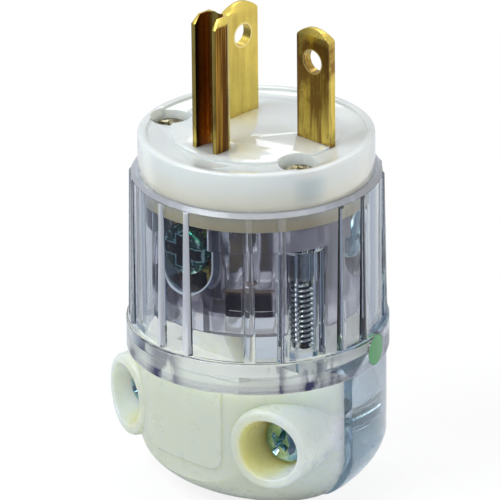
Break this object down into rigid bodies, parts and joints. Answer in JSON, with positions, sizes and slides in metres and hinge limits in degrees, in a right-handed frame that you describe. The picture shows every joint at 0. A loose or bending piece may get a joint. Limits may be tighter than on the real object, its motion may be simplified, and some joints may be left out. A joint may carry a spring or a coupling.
{
  "type": "grounding electrical plug",
  "caption": "Three-wire straight-blade mains plug with a clear ribbed housing, a white face, brass blades and a screwed cord clamp, standing on its cord end.",
  "frame": {"origin": "centre of the cord entry, on the flat cord end that the plug stands on", "axes": "+Z from the cord end to the blades; -Y to the ground pin and the cord clamp; +X to the neutral blade"},
  "size_m": [0.0398, 0.039, 0.0758],
  "materials": {
    "clear_plastic": "clear moulded polycarbonate, polished",
    "face_plastic": "milky white moulded nylon, satin gloss",
    "clamp_plastic": "natural cream moulded nylon, satin gloss",
    "block_plastic": "smoke-tinted clear moulding",
    "brass": "stamped bright brass",
    "zinc": "zinc-plated steel",
    "green_screw": "green-dyed plated steel",
    "green_mark": "green inlay"
  },
  "bodies": {
    "root": {"body_shell": "clear_plastic", "face_disc": "face_plastic", "terminal_block": "block_plastic", "cord_clamp": "clamp_plastic", "line_blade": "brass", "neutral_blade": "brass", "ground_pin": "brass", "grade_mark": "green_mark", "face_screw_left": "zinc", "face_screw_right": "zinc", "clamp_screw_left": "zinc", "clamp_screw_right": "zinc", "line_wire_clamp": "brass", "neutral_wire_clamp": "brass", "ground_wire_clamp": "brass", "line_terminal_screw": "brass", "neutral_terminal_screw": "zinc", "ground_terminal_screw": "green_screw"}
  },
  "joints": []
}
